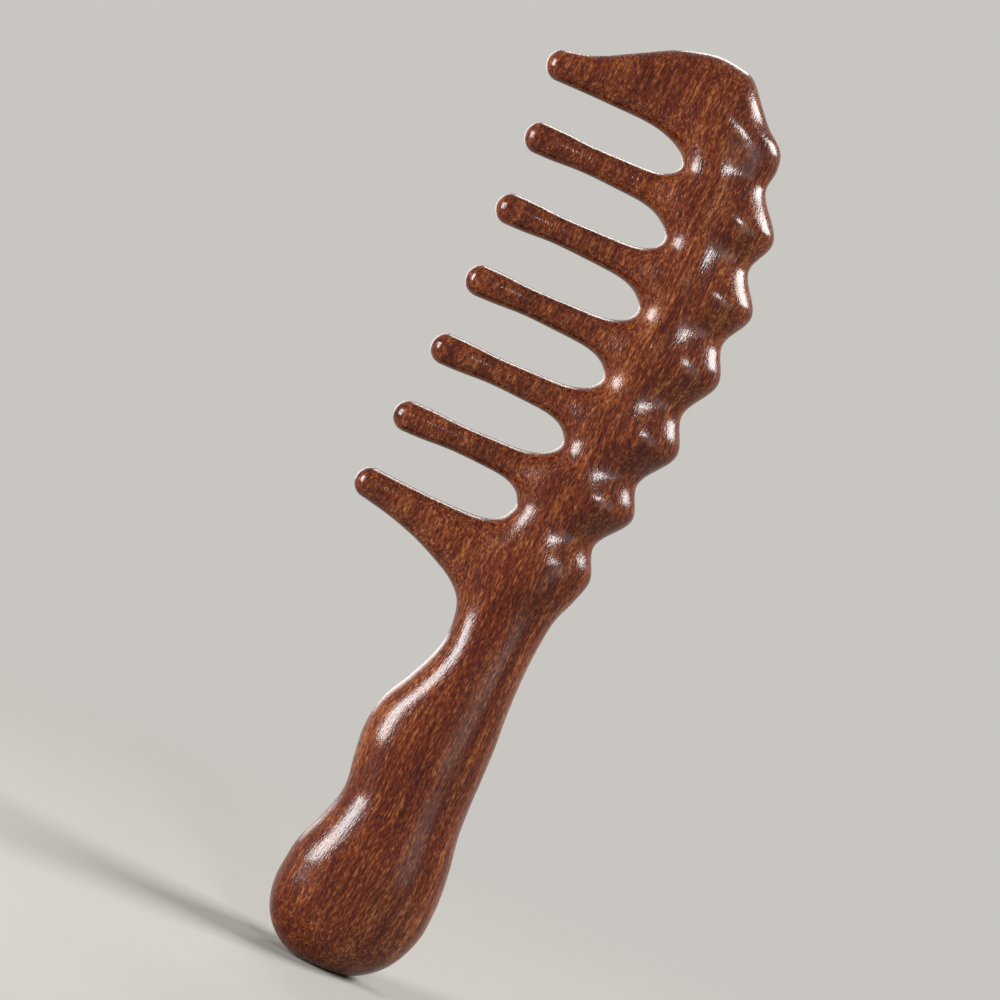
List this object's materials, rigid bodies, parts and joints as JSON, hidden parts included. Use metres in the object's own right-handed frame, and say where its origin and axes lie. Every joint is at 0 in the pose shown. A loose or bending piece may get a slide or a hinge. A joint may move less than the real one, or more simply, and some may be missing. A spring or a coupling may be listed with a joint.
{
  "type": "wide tooth comb",
  "caption": "Hand comb carved from one board of polished hardwood: widely spaced round-tipped teeth, a bowed spine with massage knobs on its back, and a waisted grip with a bulb-shaped end.",
  "frame": {"origin": "on the small flat at the end of the butt, in the middle plane of the board's thickness", "axes": "+Z along the comb from the butt to the head, +X towards the back with the knobs, teeth towards -X, Y across the thickness"},
  "size_m": [0.055, 0.022, 0.1861],
  "materials": {
    "polished_hardwood": "reddish brown hardwood, grain along the handle, sanded smooth, oiled and polished"
  },
  "bodies": {
    "root": {"comb": "polished_hardwood"}
  },
  "joints": []
}
